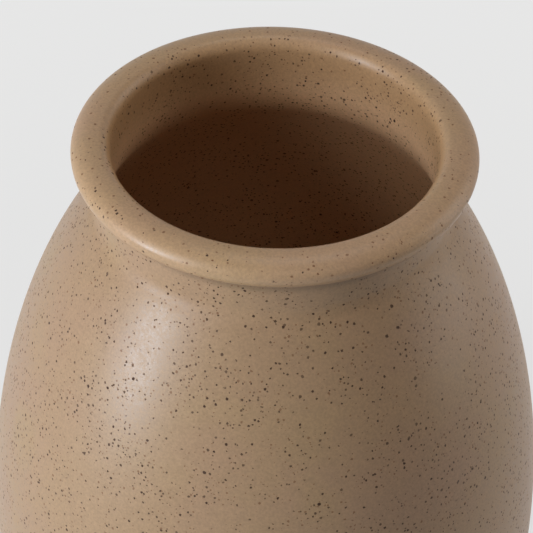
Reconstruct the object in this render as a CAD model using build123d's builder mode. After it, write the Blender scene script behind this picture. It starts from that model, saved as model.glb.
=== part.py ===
from build123d import *
import os
from math import asin, atan, cos, sqrt, tan

# Wide-mouthed stoneware vase: thrown clay sections luted with slip, then glazed inside and out.
# Millimetres, +Z up, origin at the centre of the foot's underside.

# Driving dimensions
overall_height = 300.0  # table to the top of the rim
mouth_radius = 56.4  # glazed opening
rim_overhang = 7.6  # widest circle of the rim standing out past the neck
rim_roll = 8.0  # width of the rim's rounded upper side
rim_crown = 4.8  # widest circle of the rim up to its top
rim_undercut = 4.7  # widest circle of the rim down to its underside
rim_under = 3.5  # width of the rim's rounded lower side
groove_round = 1.3  # soft corner between the rim's underside and the neck
lip_round = 4.2  # width of the rounded inner edge
lip_height = 5.2  # height of the rounded inner edge
neck_drop = 29.8  # top of the rim down to where the shoulder ends
neck_flare = 2.0  # run of the hollow curve from the shoulder in to the neck, outside
belly_radius = 105.8  # widest circle of the body
belly_height = 119.7  # widest circle above the table
bowl_close = 35.0  # depth below the table where the belly's curve would close
clay_wall = 4.8  # clay of the body and the neck
floor_thickness = 9.0
floor_round = 18.0  # corner between the inside wall and the floor
foot_height = 6.0
foot_width = 9.0
foot_inset = 3.0  # foot set in from the edge of the belly's base
foot_round = 1.5
glaze = 0.6  # thickness of each coat
glaze_lap = 2.0  # outer coat carried down inside the mouth
bare_band = 3.0  # clay left bare above the foot
slip = 0.5  # thickness of each luted seam

# Depths of the clay's two faces and of the inner coat, measured in from the glazed outside
clay_face = glaze
clay_back = clay_face + clay_wall
liner_face = clay_back + glaze

# Levels and radii that follow from them
rim_level = overall_height - rim_crown
rim_bottom = rim_level - rim_undercut
rim_seat = rim_bottom + glaze
neck_top = rim_seat - slip
neck_level = rim_bottom - groove_round
shoulder_level = overall_height - neck_drop
waist_top = belly_height + slip / 2
waist_bottom = belly_height - slip / 2
bowl_fall = waist_bottom + bowl_close
floor_top = foot_height + floor_thickness
glaze_line = foot_height + bare_band
clay_mouth_radius = mouth_radius + glaze
clay_neck_radius = clay_mouth_radius + clay_wall
neck_radius = clay_neck_radius + glaze
shoulder_radius = neck_radius + neck_flare
dome_rise = (shoulder_level - waist_top) / sqrt(1 - (shoulder_radius / belly_radius) ** 2)
rim_radius = neck_radius + rim_overhang
roll_radius = rim_radius - rim_roll
under_radius = rim_radius - rim_under
groove_radius = neck_radius + groove_round
lip_radius = mouth_radius + lip_round
lip_end = overall_height - lip_height
lap_end = lip_end - glaze_lap


def body_angle(depth, height):
    """Parameter of the body's ellipse at a height, the given depth under the glazed outside."""
    if height > belly_height:
        return asin((height - waist_top) / (dome_rise - depth))
    return asin((height - waist_bottom) / (bowl_fall - depth))


def body_radius(depth, height):
    """Radius of the body's ellipse at a height, the given depth under the glazed outside."""
    return (belly_radius - depth) * cos(body_angle(depth, height))


def body_point(depth, height):
    """Point of the body's ellipse at a height."""
    return (body_radius(depth, height), height)


def body_line(depth, height):
    """Ellipse from the widest circle up or down to a height, as a conic on its end tangents."""
    upper = height > belly_height
    waist = waist_top if upper else waist_bottom
    reach = dome_rise - depth if upper else bowl_fall - depth
    angle = body_angle(depth, height)
    widest = (belly_radius - depth, waist)
    corner = (belly_radius - depth, waist + reach * tan(angle / 2))
    return Bezier(widest, corner, body_point(depth, height), weights=[1, cos(angle / 2), 1])


def shoulder_line(depth, end_radius, end_height):
    """Upper body: the ellipse up to the shoulder, a hollow arc that turns upright, and the neck.

    The arc runs in further on the inside of the wall than on the outside.
    """
    flare = neck_flare * (1 + depth / clay_wall)
    radius = end_radius + flare
    rise = (dome_rise - depth) * sqrt(1 - (radius / (belly_radius - depth)) ** 2)
    lean = atan(((belly_radius - depth) / (dome_rise - depth)) ** 2 * rise / radius)
    shoulder = body_line(depth, waist_top + rise)
    neck_foot = (end_radius, waist_top + rise + flare / tan(lean / 2))
    TangentArc(shoulder @ 1, neck_foot, tangent=shoulder % 1)
    Line(neck_foot, (end_radius, end_height))


def waist_line(depth):
    """Upright stretch at the widest circle, as high as the luted seam."""
    Line((belly_radius - depth, waist_bottom), (belly_radius - depth, waist_top))


def rim_line(depth):
    """Rolled rim from its underside, round the outside and over the crown to the mouth."""
    reach = rim_radius - depth
    top = overall_height - depth
    under = (under_radius, rim_level)
    over = (roll_radius, rim_level)
    inner = (lip_radius, lip_end)
    EllipticalCenterArc(under, reach - under_radius, rim_undercut - depth, -90, arc_size=90)
    EllipticalCenterArc(over, reach - roll_radius, rim_crown - depth, 0, arc_size=90)
    Line((roll_radius, top), (lip_radius, top))
    EllipticalCenterArc(inner, lip_round - depth, lip_height - depth, 90, arc_size=90)


# Rim: a rolled clay ring with a flat underside
with BuildPart() as rim_ring:
    with BuildSketch(Plane.XZ):
        with BuildLine():
            rim_line(clay_face)
            Polyline(
                (clay_mouth_radius, lip_end),
                (clay_mouth_radius, rim_seat),
                (under_radius, rim_seat),
            )
        make_face()
    revolve(axis=Axis.Z)
rim_ring.part.label = "rim_ring"

# Luting slip between the rim and the neck
with BuildPart() as rim_slip:
    with BuildSketch(Plane.XY.offset(neck_top)):
        Circle(clay_neck_radius)
        Circle(clay_mouth_radius, mode=Mode.SUBTRACT)
    extrude(amount=slip)
rim_slip.part.label = "rim_slip"

# Upper thrown section: shoulder and short neck
with BuildPart() as shoulder_section:
    with BuildSketch(Plane.XZ):
        with BuildLine():
            shoulder_line(clay_face, clay_neck_radius, neck_top)
            shoulder_line(clay_back, clay_mouth_radius, neck_top)
            Line((clay_neck_radius, neck_top), (clay_mouth_radius, neck_top))
            Line((belly_radius - clay_face, waist_top), (belly_radius - clay_back, waist_top))
        make_face()
    revolve(axis=Axis.Z)
shoulder_section.part.label = "shoulder_section"

# Luting slip where the two thrown sections meet at the widest circle
with BuildPart() as waist_slip:
    with BuildSketch(Plane.XY.offset(waist_bottom)):
        Circle(belly_radius - clay_face)
        Circle(belly_radius - clay_back, mode=Mode.SUBTRACT)
    extrude(amount=slip)
waist_slip.part.label = "waist_slip"

# Lower thrown section: belly wall and floor in one
with BuildPart() as belly_section:
    with BuildSketch(Plane.XZ):
        with BuildLine():
            body_line(clay_face, foot_height)
            body_line(clay_back, floor_top)
            Line((belly_radius - clay_face, waist_bottom), (belly_radius - clay_back, waist_bottom))
            Polyline(
                body_point(clay_back, floor_top),
                (0, floor_top),
                (0, foot_height),
                body_point(clay_face, foot_height),
            )
        make_face()
        fillet(vertices().sort_by_distance(body_point(clay_back, floor_top))[0], floor_round)
    revolve(axis=Axis.Z)
belly_section.part.label = "belly_section"

# Foot: a turned ring that the vase stands on, luted under the floor
foot_radius = body_radius(clay_face, foot_height) - foot_inset
foot_bore_radius = foot_radius - foot_width
foot_top = foot_height - slip
with BuildPart() as foot_ring:
    with BuildSketch():
        Circle(foot_radius)
        Circle(foot_bore_radius, mode=Mode.SUBTRACT)
    extrude(amount=foot_top)
    fillet(edges().group_by(Axis.Z)[0], foot_round)
foot_ring.part.label = "foot_ring"

# Luting slip between the foot and the floor
with BuildPart() as foot_slip:
    with BuildSketch(Plane.XY.offset(foot_top)):
        Circle(foot_radius)
        Circle(foot_bore_radius, mode=Mode.SUBTRACT)
    extrude(amount=slip)
foot_slip.part.label = "foot_slip"

# Outer coat: from the line above the foot, up the body, round the rim and a little way into the mouth
with BuildPart() as outer_glaze:
    with BuildSketch(Plane.XZ):
        with BuildLine():
            body_line(0, glaze_line)
            waist_line(0)
            shoulder_line(0, neck_radius, neck_level)
            TangentArc((groove_radius, rim_bottom), (neck_radius, neck_level), tangent=(-1, 0))
            Line((groove_radius, rim_bottom), (under_radius, rim_bottom))
            rim_line(0)
            Polyline(
                (mouth_radius, lip_end),
                (mouth_radius, lap_end),
                (clay_mouth_radius, lap_end),
                (clay_mouth_radius, lip_end),
            )
            rim_line(clay_face)
            Line((under_radius, rim_seat), (clay_neck_radius, rim_seat))
            shoulder_line(clay_face, clay_neck_radius, rim_seat)
            waist_line(clay_face)
            body_line(clay_face, glaze_line)
            Line(body_point(clay_face, glaze_line), body_point(0, glaze_line))
        make_face()
    revolve(axis=Axis.Z)
outer_glaze.part.label = "outer_glaze"

# Inner coat: throat, wall and floor
liner_floor = floor_top + glaze
with BuildPart() as liner_glaze:
    with BuildSketch(Plane.XZ):
        with BuildLine():
            body_line(clay_back, floor_top)
            waist_line(clay_back)
            shoulder_line(clay_back, clay_mouth_radius, lap_end)
            Line((clay_mouth_radius, lap_end), (mouth_radius, lap_end))
            shoulder_line(liner_face, mouth_radius, lap_end)
            waist_line(liner_face)
            body_line(liner_face, liner_floor)
            Polyline(
                body_point(liner_face, liner_floor),
                (0, liner_floor),
                (0, floor_top),
                body_point(clay_back, floor_top),
            )
        make_face()
        fillet(vertices().sort_by_distance(body_point(clay_back, floor_top))[0], floor_round)
        fillet(vertices().sort_by_distance(body_point(liner_face, liner_floor))[0], floor_round - glaze)
    revolve(axis=Axis.Z)
liner_glaze.part.label = "liner_glaze"

os.makedirs("parts", exist_ok=True)
export_step(rim_ring.part, "parts/rim_ring.step")
export_step(rim_slip.part, "parts/rim_slip.step")
export_step(shoulder_section.part, "parts/shoulder_section.step")
export_step(waist_slip.part, "parts/waist_slip.step")
export_step(belly_section.part, "parts/belly_section.step")
export_step(foot_slip.part, "parts/foot_slip.step")
export_step(foot_ring.part, "parts/foot_ring.step")
export_step(outer_glaze.part, "parts/outer_glaze.step")
export_step(liner_glaze.part, "parts/liner_glaze.step")
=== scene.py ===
"""Speckled stoneware vase dressed over its CAD frame, with its studio stage."""
from math import cos, pi, radians, sin
from typing import NamedTuple

import bpy
import numpy as np
from bpy.props import FloatProperty, FloatVectorProperty, IntProperty, PointerProperty
from mathutils import Matrix, Vector


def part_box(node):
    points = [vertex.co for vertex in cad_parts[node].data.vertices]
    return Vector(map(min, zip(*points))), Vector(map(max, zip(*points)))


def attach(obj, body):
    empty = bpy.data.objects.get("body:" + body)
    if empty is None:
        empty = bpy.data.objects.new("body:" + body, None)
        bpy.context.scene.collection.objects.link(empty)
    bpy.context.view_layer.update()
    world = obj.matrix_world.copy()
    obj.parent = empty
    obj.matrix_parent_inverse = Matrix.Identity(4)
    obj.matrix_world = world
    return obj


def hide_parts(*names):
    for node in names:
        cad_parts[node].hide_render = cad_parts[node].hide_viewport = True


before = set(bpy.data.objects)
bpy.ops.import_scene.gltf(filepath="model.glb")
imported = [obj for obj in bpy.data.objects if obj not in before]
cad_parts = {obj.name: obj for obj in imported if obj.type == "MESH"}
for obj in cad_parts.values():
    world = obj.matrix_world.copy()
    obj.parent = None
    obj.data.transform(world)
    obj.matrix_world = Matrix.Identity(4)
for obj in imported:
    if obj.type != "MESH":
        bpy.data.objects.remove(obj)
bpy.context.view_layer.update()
COAT_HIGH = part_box("outer_glaze")[1]

bl_info = {
    "name": "Speckled Stoneware Vase",
    "version": (1, 0, 0),
    "blender": (4, 5, 0),
    "location": "View3D > Sidebar > Vase",
    "description": "Glaze coats, bare clay and studio stage of a wide-mouthed stoneware vase",
    "category": "Object",
}

BODY = "root"
CLAY_NODES = ("rim_ring", "shoulder_section", "belly_section", "foot_ring")
SLIP_NODES = ("rim_slip", "waist_slip", "foot_slip")


class Softbox(NamedTuple):
    """Rectangular lamp: bearing from the front and lift in degrees, sides in metres, power and tint."""

    bearing: float
    lift: float
    width: float
    height: float
    watts: float
    tint: tuple


class View(NamedTuple):
    """Camera before the rim: distance in metres, angles in degrees, focal length in pixels of the photo."""

    distance: float
    lift: float
    pitch: float
    pan: float
    roll: float
    focal_pixels: float


class Wave(NamedTuple):
    """Wave round the pot: lobes, drift over the pot's height and start in radians, and weight."""

    lobes: int
    drift: float
    start: float
    weight: float


class Layer(NamedTuple):
    """Noise: features in a metre, octaves and their falloff, and a shift that keeps layers apart."""

    scale: float
    detail: float
    falloff: float = 0.5
    shift: tuple = (0.0, 0.0, 0.0)


class Fleck(NamedTuple):
    """Flecks of one kind: shares of the common spacing and radius, how many, and how strong."""

    spacing: float
    smallest: float
    largest: float
    presence: float
    strength: tuple
    shift: tuple = (0.0, 0.0, 0.0)


# Light and camera
LAMP_DISTANCE = 1.5
LAMP_AIM = 0.6  # share of the vase's height that the lamps face
SOFTBOXES = {
    "key_softbox": Softbox(-60.0, 10.0, 0.42, 0.75, 15.4, (0.90, 1.0, 1.15)),
    "high_softbox": Softbox(-56.0, 34.0, 0.5, 0.7, 6.0, (1.0, 0.97, 0.92)),
    "right_fill": Softbox(108.0, 31.0, 0.8, 0.8, 4.6, (1.0, 0.95, 0.89)),
    "low_fill": Softbox(95.0, -1.0, 1.1, 0.7, 4.2, (1.0, 0.96, 0.92)),
    "back_fill": Softbox(168.0, 74.0, 0.5, 0.7, 2.6, (1.0, 0.96, 0.90)),
    "front_fill": Softbox(15.0, 54.0, 0.6, 0.6, 0.9, (1.0, 0.94, 0.84)),
}
WORLD_LIGHT = 0.01
PHOTO_PIXELS = 533
SENSOR_MM = 36.0
PHOTO_VIEW = View(distance=0.68698, lift=37.602, pitch=41.045, pan=-0.185, roll=1.682, focal_pixels=2000.0)

# Floor: its size, the distances over which it turns into the backdrop, and its tones
FLOOR_REACH = 6.0
FLOOR_RINGS = 8
FLOOR_SIDES = 96
FLOOR_FADE = (0.15, 0.75)
FLOOR_LIFT = (0.68, 0.97)  # share of the seen colour near the vase and far from it
FLOOR_NEAR = 1.22  # seen colour near the vase, as a multiple of the backdrop
FLOOR_SHADE = 0.97  # darker patches of the paper

# Points along each stretch of an outline: many on a glazed side, few on a side that lies on the clay
WALL_POINTS = 112
WALL_BACK_POINTS = 48
LINER_POINTS = 100
LINER_BACK_POINTS = 44
ARC_POINTS = 22
ARC_BACK_POINTS = 8
RIM_POINTS = 16
RIM_BACK_POINTS = 5
BEAD_POINTS = 9
GROOVE_POINTS = 9
LAP_POINTS = 5
NECK_POINTS = 6
CROWN_POINTS = 4
FLOOR_POINTS = 12
CORNER_POINTS = 12
SEARCH_POINTS = 600
FADE_POINTS = 8  # points over which the hand relief fades out at each end of the glazed side

SMALLEST_BEND = 1e-6  # curvature of an arc that is as good as straight
SMALL_STEP = 1e-6  # step in height that gives the slope of the wall
ON_AXIS = 1e-9  # radius of a point that counts as on the axis
SHARP_DEGREES = 50.0  # corners sharper than this stay crisp
WAVES = (Wave(2, 5.0, 0.0, 1.0), Wave(3, -11.0, 1.3, 0.6), Wave(5, 17.0, 0.4, 0.5))

# Noise in the glaze, the clay and the floor
UNIT = (0.0, 1.0)
DRIFT = Layer(16.0, 3.0, 0.55)
GREEN = Layer(27.0, 2.0, 0.5, (3.1, 1.7, 0.4))
GRAIN = Layer(1100.0, 3.0, 0.6)
MOTTLE = Layer(210.0, 4.0, 0.6, (0.7, 5.2, 2.9))
GATHER = Layer(60.0, 2.0, 0.5, (8.3, 0.2, 4.4))
WARP = Layer(1500.0, 1.0)
PATCH = Layer(45.0, 4.0, 0.6)
SAND = Layer(1400.0, 3.0, 0.7)
CLOUD = Layer(3.0, 2.0)

# Glaze: hue, tone, roughness and relief, each as the range of a noise and what it turns into
GLAZE_IOR = 1.46
MAUVE_RANGE = (0.42, 0.72)
# Painted cool light: the glaze drifts further to mauve towards the +X side.
PAINTED_COOL_SIDE = (0.0, 0.14)  # added to the drift from the axis out to the +X side
OLIVE_RANGE = (0.50, 0.72)
OLIVE_SHARE = (0.0, 0.8)
MIDDLE_RANGE = (0.3, 0.7)
WIDE_RANGE = (0.25, 0.75)
GRAIN_TONE = (0.88, 1.09)
MOTTLE_TONE = (-0.02, 0.02)
GRAIN_ROUGHNESS = (-0.05, 0.07)  # added to the satin
MOTTLE_ROUGHNESS = (-0.03, 0.03)
PIT_ROUGHNESS = 0.4
GRAIN_RELIEF = 0.35
PIT_RELIEF = 0.2
GLAZE_BUMP = {"Strength": 0.35, "Distance": 0.00012}

# Bands of the glaze, in metres from a level or a radius of the pot
LIP_BAND = (0.0, 0.003)  # out from the mouth
# Partly thinner glaze and partly painted light: the outer coat is paler over the rim, standing in for the
# light that the rim top catches.
RIM_PALE_LIT_BAND = (0.0, 0.004)  # up from the groove under the rim
THIN_BAND = (-0.003, 0.004)
# Painted shade: the glaze is darker in the groove under the rim, where the rim's shadow falls.
GROOVE_SHADE_START = (-0.0068, -0.0035)
GROOVE_SHADE_END = (0.001, 0.003)
DRY_START = (-0.002, 0.0005)  # up from the shoulder's end
DRY_END = (0.004, 0.007)
LINER_BAND = (-0.001, -0.018)  # down from the line where the coats meet

# Iron flecks
COMMON = Fleck(1.0, 0.5, 1.0, 0.85, (0.6, 0.97))
SMALL = Fleck(0.68, 0.2, 0.5, 0.5, (0.25, 0.8), (1.9, 2.3, 3.7))
LARGE = Fleck(2.2, 0.8, 1.25, 0.5, (0.7, 1.0), (6.1, 4.5, 0.8))
GATHER_RANGE = (0.32, 0.68)
GATHER_SHARE = (0.35, 1.5)
RUSTY_SHARE = (0.35, 0.8)  # on the body and on the rim
WARP_REACH = 0.0006  # metres by which a fleck's outline is pulled about
FLECK_SKEW = 1.6  # over 1, so that most flecks are small
FLECK_CORE = 0.65  # share of a fleck's radius inside its soft edge

# Bare clay
CLAY_RANGE = (0.35, 0.68)
CLAY_PALE = 1.18
CLAY_TONE = (0.86, 1.1)
CLAY_ROUGHNESS = (0.82, 0.95)
CLAY_BUMP = {"Strength": 0.6, "Distance": 0.0003}
TOAST_BAND = (-0.005, 0.0)  # up to the glaze line
TOAST_SHARE = (0.0, 0.75)
TOAST_RANGE = (0.3, 0.6)
TOAST_PATCH = (0.55, 1.0)
IRON_SPACING = 0.0024
IRON_RADII = (0.00008, 0.00026)
IRON_PRESENCE = 0.5
IRON_STRENGTH = (0.35, 0.9)


def length(name, default, description):
    """A size in metres for the sidebar."""
    return FloatProperty(
        name=name, description=description, default=default, min=0.0, unit="LENGTH", precision=4
    )


def colour(name, default, description):
    """A scene-linear colour for the sidebar."""
    return FloatVectorProperty(
        name=name, description=description, default=default, min=0.0, max=1.0, size=3, subtype="COLOR"
    )


def share(name, default, description):
    """A number from 0 to 1 for the sidebar."""
    return FloatProperty(
        name=name, description=description, default=default, min=0.0, max=1.0, subtype="FACTOR"
    )


class VaseSizes(bpy.types.PropertyGroup):
    """Sizes of the glazed outline, the same as those of the solids."""

    overall_height: length("Height", round(COAT_HIGH.z, 4), "Table to the top of the rim")
    belly_radius: length("Belly radius", round(COAT_HIGH.x, 4), "Widest circle of the body")
    belly_height: length("Belly height", 0.1197, "Widest circle above the table")
    mouth_radius: length("Mouth radius", 0.0564, "Glazed opening")
    rim_overhang: length("Rim overhang", 0.0076, "Rim standing out past the neck")
    rim_roll: length("Rim roll", 0.008, "Width of the rim's rounded upper side")
    rim_crown: length("Rim crown", 0.0048, "Widest circle of the rim up to its top")
    rim_undercut: length("Rim undercut", 0.0047, "Widest circle of the rim down to its underside")
    rim_under: length("Rim under", 0.0035, "Width of the rim's rounded lower side")
    groove_round: length("Groove round", 0.0013, "Soft corner between the rim and the neck")
    lip_round: length("Lip round", 0.0042, "Width of the rounded inner edge")
    lip_height: length("Lip height", 0.0052, "Height of the rounded inner edge")
    neck_drop: length("Neck drop", 0.0298, "Top of the rim down to where the shoulder ends")
    neck_flare: length("Neck flare", 0.002, "Run of the hollow curve from the shoulder in to the neck")
    bowl_close: length("Bowl close", 0.035, "Depth below the table where the belly would close")
    clay_wall: length("Clay wall", 0.0048, "Clay of the body and the neck")
    floor_top: length("Floor level", 0.015, "Clay floor above the table")
    floor_round: length("Floor round", 0.018, "Corner between the inside wall and the floor")
    glaze: length("Glaze", 0.0006, "Thickness of each coat")
    glaze_lap: length("Glaze lap", 0.002, "Outer coat carried down inside the mouth")
    glaze_line: length("Glaze line", 0.009, "Lower edge of the outer coat above the table")
    glaze_bead: length("Glaze bead", 0.0009, "Height of the rounded lower edge of the outer coat")
    slip: length("Slip", 0.0005, "Thickness of the luted seam at the waist")
    hand_relief: length("Hand relief", 0.00012, "Depth of the slow unevenness left by throwing")
    turns: IntProperty(
        name="Facets", description="Points around each ring of a coat", default=320, min=48, max=512
    )


class VaseFinish(bpy.types.PropertyGroup):
    """Colours and scales of the glaze, the clay and the stage."""

    tan: colour("Tan", (0.435, 0.277, 0.152), "Main colour of the glaze")
    mauve: colour("Mauve", (0.432, 0.268, 0.160), "Cooler drift in the glaze")
    olive: colour("Olive", (0.432, 0.280, 0.148), "Greener drift in the glaze")
    umber: colour("Umber", (0.048, 0.017, 0.006), "Iron flecks")
    rust: colour("Rust", (0.165, 0.060, 0.019), "Flecks that melted into the glaze")
    # Painted light: the throat colour is lighter than the outer glaze, so that the lit band inside the mouth
    # looks brighter.
    throat: colour("Throat", (0.520, 0.312, 0.157), "Glaze just inside the mouth")
    # Painted bounce light: much paler and redder than the outer glaze, so that the shaded inside of the pot
    # lights up.
    liner_painted_bounce: colour("Liner", (0.695, 0.437, 0.250), "Glaze deep inside")
    satin: share("Satin", 0.38, "Roughness of the glaze")
    # Partly thinner glaze and partly painted light on the rim top: how much paler the outer coat is over the
    # rim.
    rim_pale_and_painted_light: share("Rim paleness", 0.22, "How much paler the glaze is where it thins over the rim")
    # Painted shade: how much darker the glaze is in the groove under the rim, where the rim's shadow falls.
    groove_painted_shade: share("Groove pool", 0.30, "How much darker the glaze is where it pools under the rim")
    rim_thinning: share("Rim thinning", 0.58, "Share of the flecks that is missing on the rim")
    neck_dryness: share("Neck dryness", 0.07, "Extra roughness in the hollow under the neck")
    fleck_spacing: length("Fleck spacing", 0.0016, "Mean distance between iron flecks in the glaze")
    fleck_radius: length("Fleck radius", 0.00060, "Largest common iron fleck")
    clay: colour("Clay", (0.400, 0.250, 0.145), "Bare fired clay")
    toast: colour("Toast", (0.250, 0.115, 0.052), "Clay flashed darker beside the glaze")
    slip: colour("Slip", (0.300, 0.180, 0.100), "Fired luting slip")
    floor: colour("Floor", (0.520, 0.520, 0.516), "Studio floor in the light")
    backdrop: colour("Backdrop", (0.816, 0.816, 0.814), "Floor and background as they are seen")


def tangent_arc(start, heading, end, count):
    """Circular arc that leaves start along heading and stops at end.

    With the chord c, the unit heading t and its left normal n, the curvature is k = 2 c.n / |c|^2. After a
    turn through the angle a, the point is start + t sin(a) / k + n (1 - cos(a)) / k.
    """
    start, end = np.asarray(start, float), np.asarray(end, float)
    ahead = np.asarray(heading, float) / np.linalg.norm(heading)
    left = np.array((-ahead[1], ahead[0]))
    chord = end - start
    bend = 2.0 * (chord @ left) / (chord @ chord)
    bend = bend if abs(bend) > SMALLEST_BEND else SMALLEST_BEND
    turn = 2.0 * np.arcsin(np.clip(np.linalg.norm(chord) * bend / 2.0, -1.0, 1.0))
    angle = np.linspace(0.0, turn, count)
    return start + np.outer(np.sin(angle) / bend, ahead) + np.outer((1.0 - np.cos(angle)) / bend, left)


def ellipse_arc(centre, width, height, first, last, count):
    """Ellipse arc: centre + (width cos a, height sin a) for a from first to last degrees."""
    angle = np.radians(np.linspace(first, last, count))
    return np.column_stack((centre[0] + width * np.cos(angle), centre[1] + height * np.sin(angle)))


def straight(start, end, count):
    """Points at equal steps from start to end."""
    return np.linspace(start, end, count)


def neck_radius(size):
    """Glazed outside of the upright neck: the mouth, the clay of the neck and the two coats."""
    return size.mouth_radius + size.clay_wall + 2.0 * size.glaze


def dome_rise(size):
    """Height of the upper half ellipse, which has narrowed to the neck's curve at the shoulder's end."""
    narrow = (neck_radius(size) + size.neck_flare) / size.belly_radius
    rise = size.overall_height - size.neck_drop - size.belly_height - size.slip / 2.0
    return rise / np.sqrt(1.0 - narrow**2)


def body_line(size, depth, heights):
    """Body outline at the given heights, the given depth under the glazed outside.

    Two half ellipses meet in a short upright band at the waist: the radius is
    (belly - depth) sqrt(1 - (rise / (reach - depth))^2), rise being the height above or below the band.
    """
    band = size.slip / 2.0
    rise = heights - np.clip(heights, size.belly_height - band, size.belly_height + band)
    below = size.belly_height - band + size.bowl_close
    reach = np.where(rise > 0.0, dome_rise(size), below) - depth
    return np.column_stack(((size.belly_radius - depth) * np.sqrt(1.0 - (rise / reach) ** 2), heights))


def neck_run(size, depth):
    """Run of the hollow curve under the neck, longer on the inside of the wall than on the outside."""
    return size.neck_flare * (1.0 + depth / size.clay_wall)


def shoulder_top(size, depth, radius):
    """Height at which the body has narrowed to a neck of the given radius and the run of its curve."""
    narrow = (radius + neck_run(size, depth)) / (size.belly_radius - depth)
    waist = size.belly_height + size.slip / 2.0
    return waist + (dome_rise(size) - depth) * np.sqrt(1.0 - narrow**2)


def neck_line(size, depth, radius, top, count):
    """Hollow arc that leaves the shoulder along its slope and turns upright, then the straight neck.

    An arc that turns upright from a lean a while it runs in by f rises by f / tan(a / 2).
    """
    level = shoulder_top(size, depth, radius)
    ends = body_line(size, depth, np.array((level - SMALL_STEP, level)))
    run = ends[1] - ends[0]
    lean = np.arctan2(-run[0], run[1])
    foot = (radius, level + neck_run(size, depth) / np.tan(lean / 2.0))
    arc = tangent_arc(ends[1], run, foot, count)
    return np.vstack((arc, straight(foot, (radius, top), NECK_POINTS)[1:]))


def rim_line(size, depth, count):
    """Rim from its underside round the roll and over the crown to the mouth.

    A quarter ellipse below the widest circle, another above it, a narrow flat crown and a third quarter
    ellipse round the lip. Under the glaze each ellipse is smaller by the depth in both directions.
    """
    widest = neck_radius(size) + size.rim_overhang
    below = widest - size.rim_under
    roll = widest - size.rim_roll
    lip = size.mouth_radius + size.lip_round
    level = size.overall_height - size.rim_crown
    lip_end = size.overall_height - size.lip_height
    under = ellipse_arc((below, level), size.rim_under - depth, size.rim_undercut - depth, -90, 0, count)
    over = ellipse_arc((roll, level), size.rim_roll - depth, size.rim_crown - depth, 0, 90, count)
    edge = ellipse_arc((lip, lip_end), size.lip_round - depth, size.lip_height - depth, 90, 180, count)
    crown = straight(over[-1], edge[0], CROWN_POINTS)
    return np.vstack((under, over[1:], crown[1:], edge[1:]))


def neck_level(size):
    """Height where the straight neck ends and the groove under the rim begins."""
    return size.overall_height - size.rim_crown - size.rim_undercut - size.groove_round


def lap_level(size):
    """Height inside the mouth where the outer coat ends and the inner coat begins."""
    return size.overall_height - size.lip_height - size.glaze_lap


def outer_profile(size):
    """Closed outline of the outer coat, its glazed side first, and the number of points on that side.

    The lower edge is a bead: within the bead's height h its depth is g (1 - sqrt(1 - (1 - h)^2)), h from 0
    to 1, so that the coat leaves the clay in a rounded front.
    """
    neck = neck_radius(size)
    clay_neck = neck - size.glaze
    clay_mouth = size.mouth_radius + size.glaze
    level, lap = neck_level(size), lap_level(size)
    front = np.linspace(0.0, 1.0, BEAD_POINTS)
    bead_depth = size.glaze * (1.0 - np.sqrt(1.0 - (1.0 - front) ** 2))
    bead = body_line(size, bead_depth, size.glaze_line + size.glaze_bead * front)
    bead_top = size.glaze_line + size.glaze_bead
    wall = body_line(size, 0.0, np.linspace(bead_top, shoulder_top(size, 0.0, neck), WALL_POINTS))
    arc = neck_line(size, 0.0, neck, level, ARC_POINTS)
    groove_end = (neck + size.groove_round, level + size.groove_round)
    groove = tangent_arc((neck, level), (0.0, 1.0), groove_end, GROOVE_POINTS)
    rim = rim_line(size, 0.0, RIM_POINTS)
    throat = straight(rim[-1], (size.mouth_radius, lap), LAP_POINTS)
    shown = np.vstack((bead, wall[1:], arc[1:], groove[1:], rim, throat[1:]))
    clay_rim = rim_line(size, size.glaze, RIM_BACK_POINTS)[::-1]
    clay_arc = neck_line(size, size.glaze, clay_neck, clay_rim[-1, 1], ARC_BACK_POINTS)[::-1]
    clay_top = shoulder_top(size, size.glaze, clay_neck)
    clay_wall = body_line(size, size.glaze, np.linspace(clay_top, size.glaze_line, WALL_BACK_POINTS))
    back = np.vstack((((clay_mouth, lap),), clay_rim, clay_arc, clay_wall[1:-1]))
    return np.vstack((shown, back)), len(shown)


def bowl_line(size, depth, floor, corner, top, count):
    """Inside of the body from the axis along the floor, round its corner and up to the shoulder.

    The corner is a circle that touches the floor and the wall: its centre lies one radius above the floor
    and one radius in from the wall along the wall's normal.
    """
    wall = body_line(size, depth, np.linspace(floor, top, SEARCH_POINTS))
    run = np.gradient(wall, axis=0)
    run /= np.linalg.norm(run, axis=1, keepdims=True)
    centres = wall + corner * np.column_stack((-run[:, 1], run[:, 0]))
    meet = np.interp(0.0, centres[:, 1] - floor - corner, wall[:, 1])
    touch = body_line(size, depth, np.array((meet,)))[0]
    middle = np.array((np.interp(meet, wall[:, 1], centres[:, 0]), floor + corner))
    last = np.degrees(np.arctan2(*(touch - middle)[::-1]))
    flat = straight((0.0, floor), (middle[0], floor), FLOOR_POINTS)
    bend = ellipse_arc(middle, corner, corner, -90.0, last, CORNER_POINTS)
    rise = body_line(size, depth, np.linspace(meet, top, count))
    return np.vstack((flat, bend[1:], rise[1:]))


def liner_profile(size):
    """Outline of the inner coat from the axis under its floor, up the clay, and down its glazed side."""
    clay_back = size.glaze + size.clay_wall
    clay_mouth = size.mouth_radius + size.glaze
    lap = lap_level(size)
    back_top = shoulder_top(size, clay_back, clay_mouth)
    back = bowl_line(size, clay_back, size.floor_top, size.floor_round, back_top, LINER_BACK_POINTS)
    back_neck = neck_line(size, clay_back, clay_mouth, lap, ARC_BACK_POINTS)
    face = clay_back + size.glaze
    floor, corner = size.floor_top + size.glaze, size.floor_round - size.glaze
    face_top = shoulder_top(size, face, size.mouth_radius)
    shown = bowl_line(size, face, floor, corner, face_top, LINER_POINTS)
    shown_neck = neck_line(size, face, size.mouth_radius, lap, ARC_POINTS)
    rise = np.vstack((shown, shown_neck[1:]))
    return np.vstack((back, back_neck[1:], rise[::-1]))


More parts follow.
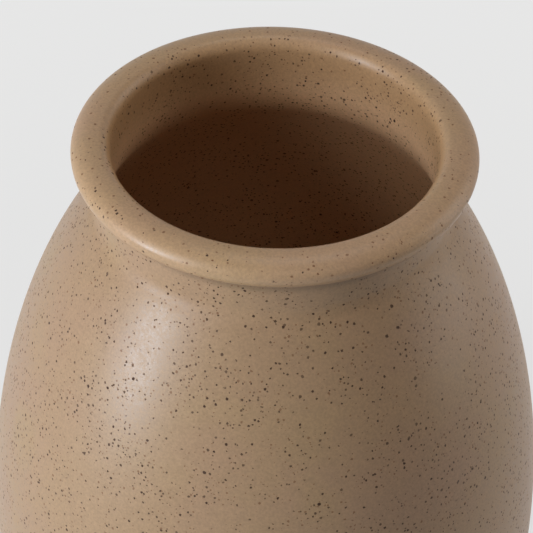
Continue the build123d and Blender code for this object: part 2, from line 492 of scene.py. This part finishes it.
def hand_relief(size, outline, shown, angles):
    """Slow unevenness of a thrown wall, as a depth at each point of the outline and each angle.

    The sum of three low waves round the pot that drift with height, scaled to lie between 0 and the relief,
    faded out at the two ends of the glazed side and zero on the clay side.
    """
    climb = outline[:, 1, None] / size.overall_height
    turns = [wave.lobes * angles + wave.drift * climb + wave.start for wave in WAVES]
    total = sum(wave.weight * np.sin(turn) for wave, turn in zip(WAVES, turns))
    most = sum(wave.weight for wave in WAVES)
    along = np.arange(len(outline))
    fade = np.clip(np.minimum(along, shown - 1 - along) / FADE_POINTS, 0.0, 1.0)
    return size.hand_relief * fade[:, None] * (0.5 + 0.5 * total / most)


def turned_mesh(name, outline, turns, relief=None):
    """Mesh of an outline turned about +Z: point (i, j) is (r_i cos a_j, r_i sin a_j, z_i).

    A relief moves a point in along the outline's normal. An outline that starts and ends on the axis is
    closed by a fan at each end, any other by a strip from its last point to its first.
    """
    angles = np.linspace(0.0, 2.0 * pi, turns, endpoint=False)
    radius = np.repeat(outline[:, :1], turns, axis=1)
    height = np.repeat(outline[:, 1:], turns, axis=1)
    if relief is not None:
        run = np.gradient(outline, axis=0)
        run /= np.linalg.norm(run, axis=1, keepdims=True)
        depth = relief(angles)
        radius = radius - depth * run[:, 1:]
        height = height + depth * run[:, :1]
    points = np.stack((radius * np.cos(angles), radius * np.sin(angles), height), axis=-1)
    poles = outline[0, 0] < ON_AXIS
    rings = points[1:-1] if poles else points
    count = len(rings)
    index = np.arange(count * turns).reshape(count, turns)
    low = index[:-1] if poles else index
    high = index[1:] if poles else np.roll(index, -1, axis=0)
    quads = np.stack((low, np.roll(low, -1, 1), np.roll(high, -1, 1), high), axis=-1).reshape(-1, 4)
    faces = quads.tolist()
    vertices = rings.reshape(-1, 3)
    if poles:
        vertices = np.vstack((vertices, points[0, :1], points[-1, :1]))
        first, last = np.full(turns, index.size), np.full(turns, index.size + 1)
        faces += np.column_stack((first, np.roll(index[0], -1), index[0])).tolist()
        faces += np.column_stack((last, index[-1], np.roll(index[-1], -1))).tolist()
    mesh = bpy.data.meshes.new(name)
    mesh.from_pydata(vertices.tolist(), [], faces)
    mesh.update()
    mesh.shade_smooth()
    mesh.set_sharp_from_angle(angle=radians(SHARP_DEGREES))
    return mesh


def add_piece(name, mesh, material):
    """New object at the origin with one material."""
    piece = bpy.data.objects.new(name, mesh)
    bpy.context.scene.collection.objects.link(piece)
    mesh.materials.append(material)
    return piece


def node(tree, kind, inputs=None, output=0, **settings):
    """Add a shader node, set its properties and inputs, and return one of its outputs."""
    made = tree.nodes.new(kind)
    for key, value in settings.items():
        setattr(made, key, value)
    for key, value in (inputs or {}).items():
        if isinstance(value, bpy.types.NodeSocket):
            tree.links.new(value, made.inputs[key])
        else:
            made.inputs[key].default_value = value
    return made.outputs[output]


def maths(tree, operation, first, second):
    """One arithmetic step."""
    return node(tree, "ShaderNodeMath", {0: first, 1: second}, operation=operation)


def vector(tree, operation, inputs, output=0):
    """One step of vector arithmetic."""
    return node(tree, "ShaderNodeVectorMath", inputs, output, operation=operation)


def ramp(tree, value, span, ends=UNIT, smooth=True):
    """Carry a value from one range to another, clamped, with soft or straight ends."""
    kind = "SMOOTHSTEP" if smooth else "LINEAR"
    inputs = {0: value, 1: span[0], 2: span[1], 3: ends[0], 4: ends[1]}
    return node(tree, "ShaderNodeMapRange", inputs, interpolation_type=kind)


def band(tree, value, level, span, ends=UNIT):
    """Ramp over a range that is measured from a level."""
    return ramp(tree, value, (level + span[0], level + span[1]), ends)


def blend(tree, factor, first, second):
    """Mix two colours."""
    inputs = {0: factor, 6: first, 7: second}
    return node(tree, "ShaderNodeMix", inputs, output=2, data_type="RGBA")


def shifted(tree, place, move):
    """Coordinates moved by a fixed amount, so that two layers do not line up."""
    return vector(tree, "ADD", {0: place, 1: move})


def noise(tree, place, layer, output="Fac"):
    """Fractal noise of a layer, from 0 to 1, as one number or as a colour of three."""
    moved = shifted(tree, place, layer.shift)
    inputs = {"Vector": moved, "Scale": layer.scale, "Detail": layer.detail, "Roughness": layer.falloff}
    return node(tree, "ShaderNodeTexNoise", inputs, output)


def rgba(values, scale=1.0):
    """Opaque colour of three numbers, made lighter or darker by a scale."""
    return (*(scale * value for value in values), 1.0)


def new_material(name):
    """New material with its node tree and its shader."""
    material = bpy.data.materials.new(name)
    material.use_nodes = True
    return material, material.node_tree, material.node_tree.nodes["Principled BSDF"]


def object_place(tree):
    """Coordinates of a point in the pot's own frame, and the three of them apart."""
    place = node(tree, "ShaderNodeTexCoord", output="Object")
    axes = tree.nodes.new("ShaderNodeSeparateXYZ")
    tree.links.new(place, axes.inputs["Vector"])
    return place, axes.outputs


def flecks(tree, place, spacing, radii, presence):
    """Round flecks strewn through the glaze: a mask and a random tone for each.

    Cells about points strewn at the spacing each draw three numbers: whether the fleck is there, how large
    it is, and its tone. The mask falls from 1 to 0 across the fleck's own soft edge.
    """
    cell = tree.nodes.new("ShaderNodeTexVoronoi")
    cell.inputs["Scale"].default_value = 1.0 / spacing
    tree.links.new(place, cell.inputs["Vector"])
    draw = tree.nodes.new("ShaderNodeSeparateColor")
    tree.links.new(cell.outputs["Color"], draw.inputs[0])
    kept = maths(tree, "LESS_THAN", draw.outputs[0], presence)
    bulk = maths(tree, "POWER", draw.outputs[1], FLECK_SKEW)
    reach = ramp(tree, bulk, UNIT, (radii[0] / spacing, radii[1] / spacing), smooth=False)
    core = maths(tree, "MULTIPLY", reach, FLECK_CORE)
    spot = ramp(tree, cell.outputs["Distance"], (reach, core))
    return maths(tree, "MULTIPLY", spot, kept), draw.outputs[2]


def glaze_flecks(tree, place, finish, kind, gather):
    """Flecks of one kind: their mask, each at its own strength, and their tones."""
    spacing = kind.spacing * finish.fleck_spacing
    radii = (kind.smallest * finish.fleck_radius, kind.largest * finish.fleck_radius)
    presence = maths(tree, "MULTIPLY", gather, kind.presence)
    mask, tone = flecks(tree, shifted(tree, place, kind.shift), spacing, radii, presence)
    return maths(tree, "MULTIPLY", mask, ramp(tree, tone, UNIT, kind.strength)), tone


def speckle(tree, place, finish, on_rim, ground):
    """Iron flecks of three sizes over the ground colour: the painted colour and the larger flecks' pits.

    Flecks gather and thin out with a slow noise. On the rim they are fewer and more of them are rusty. A
    fine noise pulls their outlines about.
    """
    gather = ramp(tree, noise(tree, place, GATHER), GATHER_RANGE, GATHER_SHARE)
    thin = ramp(tree, on_rim, UNIT, (1.0, 1.0 - finish.rim_thinning), smooth=False)
    gather = maths(tree, "MULTIPLY", gather, thin)
    pull = vector(tree, "SUBTRACT", {0: noise(tree, place, WARP, "Color"), 1: (0.5, 0.5, 0.5)})
    strewn = vector(tree, "ADD", {0: place, 1: vector(tree, "SCALE", {0: pull, "Scale": WARP_REACH})})
    common, common_tone = glaze_flecks(tree, strewn, finish, COMMON, gather)
    small, _ = glaze_flecks(tree, strewn, finish, SMALL, gather)
    large, _ = glaze_flecks(tree, strewn, finish, LARGE, gather)
    rusty = maths(tree, "LESS_THAN", common_tone, ramp(tree, on_rim, UNIT, RUSTY_SHARE, smooth=False))
    common_colour = blend(tree, rusty, rgba(finish.umber), rgba(finish.rust))
    painted = blend(tree, small, ground, rgba(finish.rust))
    painted = blend(tree, common, painted, common_colour)
    painted = blend(tree, large, painted, rgba(finish.umber))
    return painted, maths(tree, "MAXIMUM", common, large)


def drifting_hue(tree, place, across, size, finish):
    """Tan that drifts slowly to mauve and to olive, and a little further to mauve towards the +X side as
    painted cool light.
    """
    # Painted cool light: more mauve towards the +X side.
    side = ramp(tree, across, (0.0, size.belly_radius), PAINTED_COOL_SIDE)
    drift = maths(tree, "ADD", noise(tree, place, DRIFT), side)
    hue = blend(tree, ramp(tree, drift, MAUVE_RANGE), rgba(finish.tan), rgba(finish.mauve))
    green = ramp(tree, noise(tree, place, GREEN), OLIVE_RANGE, OLIVE_SHARE)
    return blend(tree, green, hue, rgba(finish.olive))


def rim_tone(tree, height, size, finish, outside):
    """Tone of the outer coat: paler over the rim, partly from thinner glaze and partly as painted light on
    the rim top, and darker in the groove under the rim as painted shade where the rim's shadow falls.
    """
    groove = neck_level(size)
    # Paler rim: partly thinner glaze, partly painted light on the rim top.
    pale = band(tree, height, groove, RIM_PALE_LIT_BAND, (0.0, finish.rim_pale_and_painted_light))
    pale = maths(tree, "ADD", 1.0, maths(tree, "MULTIPLY", pale, outside))
    # Painted shade: darker glaze in the groove under the rim, where the rim's shadow falls.
    groove_shade = band(tree, height, groove, GROOVE_SHADE_START, (0.0, finish.groove_painted_shade))
    groove_shade = maths(tree, "MULTIPLY", groove_shade, band(tree, height, groove, GROOVE_SHADE_END, (1.0, 0.0)))
    return maths(tree, "MULTIPLY", pale, maths(tree, "SUBTRACT", 1.0, groove_shade))


def neck_dryness(tree, height, size, finish):
    """Extra roughness of the outer coat in the hollow between the shoulder and the neck."""
    bend = shoulder_top(size, 0.0, neck_radius(size))
    dry = band(tree, height, bend, DRY_START, (0.0, finish.neck_dryness))
    return maths(tree, "MULTIPLY", dry, band(tree, height, bend, DRY_END, (1.0, 0.0)))


def glaze_material(name, size, finish, lined):
    """Satin speckled glaze with fine grain and mottle.

    The outer coat drifts in hue and, as painted cool light, further to mauve towards the +X side. It is
    paler on the rim, partly from thinner glaze and partly as painted light on the rim top, darker in the
    groove under the rim as painted shade, drier in the hollow of the neck, and takes the throat's colour
    inside the lip. The throat's colour is lighter than the outer glaze, as painted light inside the mouth,
    and the inner coat turns paler and warmer from the throat down, as painted bounce light deep inside.
    Flecks are pits, rougher than the glaze around them.
    """
    material, tree, shader = new_material(name)
    shader.inputs["IOR"].default_value = GLAZE_IOR
    place, axes = object_place(tree)
    height = axes["Z"]
    grain = noise(tree, place, GRAIN)
    mottle = noise(tree, place, MOTTLE)
    fine_tone = ramp(tree, grain, WIDE_RANGE, GRAIN_TONE)
    tone = maths(tree, "ADD", fine_tone, ramp(tree, mottle, MIDDLE_RANGE, MOTTLE_TONE))
    satin = [finish.satin + change for change in GRAIN_ROUGHNESS]
    rough = ramp(tree, grain, MIDDLE_RANGE, satin)
    rough = maths(tree, "ADD", rough, ramp(tree, mottle, MIDDLE_RANGE, MOTTLE_ROUGHNESS))
    if lined:
        # Painted light: the inner coat runs from the lighter throat colour down to a paler, redder colour
        # that stands in for bounce light deep inside.
        deep = band(tree, height, lap_level(size), LINER_BAND)
        hue = blend(tree, deep, rgba(finish.throat), rgba(finish.liner_painted_bounce))
        on_rim = 0.0
    else:
        level = vector(tree, "MULTIPLY", {0: place, 1: (1.0, 1.0, 0.0)})
        reach = vector(tree, "LENGTH", {0: level}, "Value")
        outside = band(tree, reach, size.mouth_radius, LIP_BAND)
        hue = drifting_hue(tree, place, axes["X"], size, finish)
        # Inside the lip the outer coat takes the throat colour, which is painted light: lighter than the
        # outer glaze.
        hue = blend(tree, outside, rgba(finish.throat), hue)
        tone = maths(tree, "MULTIPLY", tone, rim_tone(tree, height, size, finish, outside))
        rough = maths(tree, "ADD", rough, neck_dryness(tree, height, size, finish))
        on_rim = maths(tree, "MULTIPLY", band(tree, height, neck_level(size), THIN_BAND), outside)
    ground = vector(tree, "SCALE", {0: hue, "Scale": tone})
    painted, pits = speckle(tree, place, finish, on_rim, ground)
    tree.links.new(painted, shader.inputs["Base Color"])
    rough = maths(tree, "ADD", rough, maths(tree, "MULTIPLY", pits, PIT_ROUGHNESS))
    tree.links.new(rough, shader.inputs["Roughness"])
    raised = maths(tree, "MULTIPLY", grain, GRAIN_RELIEF)
    relief = maths(tree, "SUBTRACT", raised, maths(tree, "MULTIPLY", pits, PIT_RELIEF))
    bump = node(tree, "ShaderNodeBump", {"Height": relief, **GLAZE_BUMP})
    tree.links.new(bump, shader.inputs["Normal"])
    return material


def clay_material(name, size, finish, shade, toasted):
    """Bare fired clay: dry, sandy, speckled with iron, and toasted darker beside the glaze line if asked."""
    material, tree, shader = new_material(name)
    place, axes = object_place(tree)
    patch = noise(tree, place, PATCH)
    sand = noise(tree, place, SAND)
    base = blend(tree, ramp(tree, patch, CLAY_RANGE), rgba(shade), rgba(shade, CLAY_PALE))
    if toasted:
        toast = band(tree, axes["Z"], size.glaze_line, TOAST_BAND, TOAST_SHARE)
        toast = maths(tree, "MULTIPLY", toast, ramp(tree, patch, TOAST_RANGE, TOAST_PATCH))
        base = blend(tree, toast, base, rgba(finish.toast))
    base = vector(tree, "SCALE", {0: base, "Scale": ramp(tree, sand, WIDE_RANGE, CLAY_TONE)})
    iron, iron_tone = flecks(tree, place, IRON_SPACING, IRON_RADII, IRON_PRESENCE)
    iron = maths(tree, "MULTIPLY", iron, ramp(tree, iron_tone, UNIT, IRON_STRENGTH))
    tree.links.new(blend(tree, iron, base, rgba(finish.umber)), shader.inputs["Base Color"])
    tree.links.new(ramp(tree, sand, MIDDLE_RANGE, CLAY_ROUGHNESS), shader.inputs["Roughness"])
    bump = node(tree, "ShaderNodeBump", {"Height": sand, **CLAY_BUMP})
    tree.links.new(bump, shader.inputs["Normal"])
    return material


def seen_rays(tree):
    """1 for rays from the camera, for reflections and for transmission, otherwise 0."""
    path = tree.nodes.new("ShaderNodeLightPath")
    seen = maths(tree, "MAXIMUM", path.outputs["Is Camera Ray"], path.outputs["Is Glossy Ray"])
    return maths(tree, "MAXIMUM", seen, path.outputs["Is Transmission Ray"])


class VASE_OT_outer_glaze(bpy.types.Operator):
    """Turn the outer coat of glaze over the body, the rim and the lip"""

    bl_idname = "vase.outer_glaze"
    bl_label = "Outer glaze"

    def execute(self, context):
        size, finish = context.scene.vase_sizes, context.scene.vase_finish
        outline, shown = outer_profile(size)
        mesh = turned_mesh(
            "glaze_coat", outline, size.turns, lambda angles: hand_relief(size, outline, shown, angles)
        )
        piece = add_piece("glaze_coat", mesh, glaze_material("speckled_glaze", size, finish, lined=False))
        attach(piece, BODY)
        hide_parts("outer_glaze")
        return {"FINISHED"}


class VASE_OT_liner_glaze(bpy.types.Operator):
    """Turn the inner coat of glaze over the throat, the wall and the floor"""

    bl_idname = "vase.liner_glaze"
    bl_label = "Liner glaze"

    def execute(self, context):
        size, finish = context.scene.vase_sizes, context.scene.vase_finish
        mesh = turned_mesh("liner_coat", liner_profile(size), size.turns)
        piece = add_piece("liner_coat", mesh, glaze_material("speckled_liner", size, finish, lined=True))
        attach(piece, BODY)
        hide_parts("liner_glaze")
        return {"FINISHED"}


class VASE_OT_bare_clay(bpy.types.Operator):
    """Finish the clay sections, the foot and the luted seams"""

    bl_idname = "vase.bare_clay"
    bl_label = "Bare clay and slip"

    def execute(self, context):
        size, finish = context.scene.vase_sizes, context.scene.vase_finish
        finishes = (
            (CLAY_NODES, clay_material("bare_clay", size, finish, finish.clay, toasted=True)),
            (SLIP_NODES, clay_material("luting_slip", size, finish, finish.slip, toasted=False)),
        )
        for names, material in finishes:
            for name in names:
                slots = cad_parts[name].data.materials
                slots.clear()
                slots.append(material)
        return {"FINISHED"}


def floor_mesh(name):
    """Flat round floor: rings at radii that grow with the square of their number, turned about +Z."""
    rings = FLOOR_REACH * np.linspace(0.0, 1.0, FLOOR_RINGS + 1)[1:] ** 2
    angles = np.linspace(0.0, 2.0 * pi, FLOOR_SIDES, endpoint=False)
    flat = np.zeros((FLOOR_RINGS, FLOOR_SIDES))
    grid = np.stack((np.outer(rings, np.cos(angles)), np.outer(rings, np.sin(angles)), flat), axis=-1)
    vertices = np.vstack((grid.reshape(-1, 3), np.zeros((1, 3))))
    index = np.arange(FLOOR_RINGS * FLOOR_SIDES).reshape(FLOOR_RINGS, FLOOR_SIDES)
    low, high = index[:-1], index[1:]
    quads = np.stack((low, high, np.roll(high, -1, 1), np.roll(low, -1, 1)), axis=-1).reshape(-1, 4)
    hub = np.column_stack((np.full(FLOOR_SIDES, index.size), index[0], np.roll(index[0], -1)))
    mesh = bpy.data.meshes.new(name)
    mesh.from_pydata(vertices.tolist(), [], quads.tolist() + hub.tolist())
    mesh.update()
    return mesh


def floor_material(name, finish):
    """Pale paper: matte, so that it takes the shadow, and lifted to the backdrop's colour where it is seen.

    Near the vase the lift is weaker, which keeps the shadow, and the colour it lifts to is brighter.
    """
    material = bpy.data.materials.new(name)
    material.use_nodes = True
    tree = material.node_tree
    tree.nodes.clear()
    place = node(tree, "ShaderNodeTexCoord", output="Object")
    cloud = ramp(tree, noise(tree, place, CLOUD), MIDDLE_RANGE)
    tint = blend(tree, cloud, rgba(finish.floor), rgba(finish.floor, FLOOR_SHADE))
    matte = node(tree, "ShaderNodeBsdfDiffuse", {"Color": tint})
    away = vector(tree, "LENGTH", {0: place}, "Value")
    near, far = rgba(finish.backdrop, FLOOR_NEAR), rgba(finish.backdrop)
    seen = blend(tree, ramp(tree, away, FLOOR_FADE), near, far)
    glow = node(tree, "ShaderNodeEmission", {"Color": seen, "Strength": 1.0})
    lifted = maths(tree, "MULTIPLY", seen_rays(tree), ramp(tree, away, FLOOR_FADE, FLOOR_LIFT))
    mixed = node(tree, "ShaderNodeMixShader", {0: lifted, 1: matte, 2: glow})
    output = tree.nodes.new("ShaderNodeOutputMaterial")
    tree.links.new(mixed, output.inputs["Surface"])
    return material


def studio_world(finish):
    """World of even soft light, seen directly as the pale background."""
    world = bpy.data.worlds.new("studio")
    world.use_nodes = True
    tree = world.node_tree
    tree.nodes.clear()
    light = node(tree, "ShaderNodeBackground", {"Color": rgba((1.0, 1.0, 1.0)), "Strength": WORLD_LIGHT})
    seen = node(tree, "ShaderNodeBackground", {"Color": rgba(finish.backdrop), "Strength": 1.0})
    mixed = node(tree, "ShaderNodeMixShader", {0: seen_rays(tree), 1: light, 2: seen})
    output = tree.nodes.new("ShaderNodeOutputWorld")
    tree.links.new(mixed, output.inputs["Surface"])
    bpy.context.scene.world = world


def area_lamp(name, softbox, target):
    """Soft box that faces the target from its bearing: 0 is the front, 90 the right side."""
    turn, lift = radians(softbox.bearing), radians(softbox.lift)
    away = Vector((sin(turn) * cos(lift), -cos(turn) * cos(lift), sin(lift)))
    data = bpy.data.lights.new(name, "AREA")
    data.shape, data.size, data.size_y = "RECTANGLE", softbox.width, softbox.height
    data.energy, data.color = softbox.watts, softbox.tint
    lamp = bpy.data.objects.new(name, data)
    bpy.context.scene.collection.objects.link(lamp)
    lamp.location = Vector(target) + LAMP_DISTANCE * away
    lamp.rotation_euler = away.to_track_quat("Z", "Y").to_euler()


def photo_camera(target, view):
    """Camera in front of the target, lifted by an angle, then aimed by its own pitch, pan and roll."""
    lift, pitch, pan, roll = map(radians, (view.lift, view.pitch, view.pan, view.roll))
    ahead = Vector((sin(pan) * cos(pitch), cos(pan) * cos(pitch), -sin(pitch)))
    level = ahead.cross(Vector((0.0, 0.0, 1.0))).normalized()
    upright = level.cross(ahead)
    across = cos(roll) * level + sin(roll) * upright
    up = cos(roll) * upright - sin(roll) * level
    data = bpy.data.cameras.new("photo_camera")
    data.sensor_width = SENSOR_MM
    data.lens = SENSOR_MM * view.focal_pixels / PHOTO_PIXELS
    camera = bpy.data.objects.new("photo_camera", data)
    bpy.context.scene.collection.objects.link(camera)
    place = Vector(target) + view.distance * Vector((0.0, -cos(lift), sin(lift)))
    camera.matrix_world = Matrix.Translation(place) @ Matrix((across, up, -ahead)).transposed().to_4x4()
    bpy.context.scene.camera = camera


class VASE_OT_stage(bpy.types.Operator):
    """Lay the pale floor and set the soft light and the camera"""

    bl_idname = "vase.stage"
    bl_label = "Studio stage"

    def execute(self, context):
        size, finish = context.scene.vase_sizes, context.scene.vase_finish
        floor = add_piece("studio_floor", floor_mesh("studio_floor"), floor_material("floor_paper", finish))
        studio_world(finish)
        for name, softbox in SOFTBOXES.items():
            area_lamp(name, softbox, (0.0, 0.0, LAMP_AIM * size.overall_height))
        photo_camera((0.0, 0.0, size.overall_height - size.rim_crown), PHOTO_VIEW)
        context.scene.view_settings.view_transform = "Standard"
        return {"FINISHED"}


class VASE_PT_sidebar(bpy.types.Panel):
    """Sidebar page that lists the pieces of the vase and their sizes and colours"""

    bl_idname = "VASE_PT_sidebar"
    bl_label = "Stoneware vase"
    bl_space_type = "VIEW_3D"
    bl_region_type = "UI"
    bl_category = "Vase"

    def draw(self, context):
        layout = self.layout
        for operator in PIECES:
            layout.operator(operator.bl_idname)
        for group in (context.scene.vase_sizes, context.scene.vase_finish):
            column = layout.column()
            for name in group.__annotations__:
                column.prop(group, name)


PIECES = (VASE_OT_outer_glaze, VASE_OT_liner_glaze, VASE_OT_bare_clay, VASE_OT_stage)
CLASSES = (VaseSizes, VaseFinish, *PIECES, VASE_PT_sidebar)


def register():
    """Add the classes and hang the sizes and the finish on the scene."""
    for cls in CLASSES:
        bpy.utils.register_class(cls)
    bpy.types.Scene.vase_sizes = PointerProperty(type=VaseSizes)
    bpy.types.Scene.vase_finish = PointerProperty(type=VaseFinish)


def unregister():
    """Take everything away again, in the reverse order."""
    del bpy.types.Scene.vase_finish
    del bpy.types.Scene.vase_sizes
    for cls in reversed(CLASSES):
        bpy.utils.unregister_class(cls)


def main():
    """Make every piece in order."""
    register()
    bpy.ops.vase.outer_glaze()
    bpy.ops.vase.liner_glaze()
    bpy.ops.vase.bare_clay()
    bpy.ops.vase.stage()


if __name__ == "__main__":
    main()
